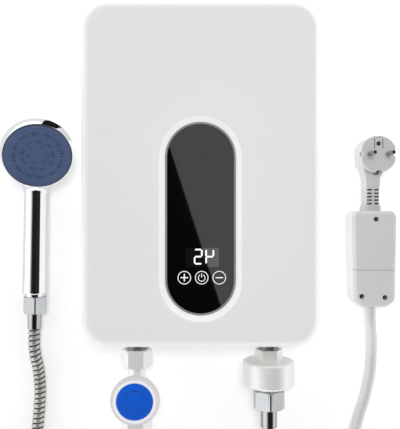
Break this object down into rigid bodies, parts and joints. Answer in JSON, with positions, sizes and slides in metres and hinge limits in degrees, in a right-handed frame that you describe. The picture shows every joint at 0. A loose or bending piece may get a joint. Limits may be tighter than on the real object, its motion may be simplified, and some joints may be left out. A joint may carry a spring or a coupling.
{
  "type": "tankless electric water heater",
  "caption": "Flat white instant electric water heater with a touch panel, inlet valve, isolation adapter, ribbed shower hose with handset, and a mains lead with leakage breaker and plug.",
  "frame": {"origin": "middle of the casing's back, on the wall face", "axes": "+Z out of the wall towards the heater's front, +Y towards the heater's top, +X to its right seen from the front"},
  "size_m": [0.5396, 0.6497, 0.07],
  "materials": {
    "casing_white": "gloss",
    "seal_rubber": "matte",
    "plated_steel": "satin",
    "bezel_metal": "satin",
    "touch_glass": "gloss",
    "board_green": "satin",
    "display_grey": "matte",
    "brass": "satin",
    "stainless": "brushed",
    "inner_plastic": "matte",
    "rotor_blue": "matte",
    "device_black": "matte",
    "wire_insulation": "satin",
    "fitting_white": "satin",
    "knob_white": "satin",
    "cap_blue": "gloss",
    "chrome": "mirror",
    "hose_steel": "polished",
    "face_blue_grey": "satin",
    "nozzle_silicone": "matte",
    "cord_grey": "satin",
    "breaker_grey": "satin",
    "button_yellow": "satin",
    "button_green": "satin",
    "plug_grey": "satin",
    "pin_metal": "polished"
  },
  "bodies": {
    "heater": {"rear_cover": "casing_white", "front_cover": "casing_white", "casing_seal": "seal_rubber", "housing_screws": "plated_steel", "panel_bezel": "bezel_metal", "glass_panel": "touch_glass", "display_board": "board_green", "led_display": "display_grey", "inlet_nipple": "stainless", "outlet_nipple": "stainless", "lock_nuts": "brass", "nipple_washers": "seal_rubber", "flow_sensor_body": "inner_plastic", "rotor_axle": "stainless", "inlet_pipe": "brass", "heating_tank": "stainless", "heating_element": "stainless", "tank_clamps": "plated_steel", "thermal_cutout": "inner_plastic", "temperature_probes": "inner_plastic", "outlet_pipe": "brass", "power_board": "board_green", "triac": "device_black", "terminal_block": "inner_plastic", "wiring": "wire_insulation", "valve_union_nut": "fitting_white", "valve_washer": "seal_rubber", "valve_body": "fitting_white", "valve_bonnet": "fitting_white", "isolation_adapter": "fitting_white", "outlet_hose_nut": "chrome", "outlet_hose_ferrule": "chrome", "hose_outlet_run": "hose_steel", "hose_coil": "hose_steel", "hose_handset_run": "hose_steel", "hose_tie": "seal_rubber", "handset_hose_ferrule": "chrome", "handset_hose_nut": "chrome", "handset_body": "chrome", "spray_face": "face_blue_grey", "spray_nozzles": "nozzle_silicone", "cord_gland": "casing_white", "cord_heater_run": "cord_grey", "cord_coil": "cord_grey", "cord_plug_run": "cord_grey", "cord_tie": "seal_rubber", "breaker_base": "breaker_grey", "breaker_cover": "breaker_grey", "breaker_terminal_cover": "breaker_grey", "breaker_screws": "plated_steel", "plug_strain_relief": "plug_grey", "plug_body": "plug_grey", "plug_pins": "pin_metal", "plug_earth_clips": "pin_metal"},
    "valve_knob": {"valve_knob": "knob_white", "knob_cap": "cap_blue", "valve_stem": "stainless"},
    "flow_rotor": {"flow_rotor": "rotor_blue"},
    "test_button": {"test_button": "button_yellow"},
    "reset_button": {"reset_button": "button_green"}
  },
  "joints": [
    {"name": "knob_turn", "type": "hinge", "parent": "heater", "child": "valve_knob", "pos_m": [-0.067, -0.2313, 0.05], "axis": [0, 0, -1], "range_deg": [0, 90]},
    {"name": "rotor_spin", "type": "hinge", "parent": "heater", "child": "flow_rotor", "pos_m": [-0.067, -0.136, 0.036], "axis": [0, 1, 0], "continuous": true},
    {"name": "test_press", "type": "slide", "parent": "heater", "child": "test_button", "axis": [0, 0, 1], "range_m": [0, 0.0015], "stiffness_N_per_m": 400},
    {"name": "reset_press", "type": "slide", "parent": "heater", "child": "reset_button", "axis": [0, 0, 1], "range_m": [0, 0.0015], "stiffness_N_per_m": 400}
  ]
}
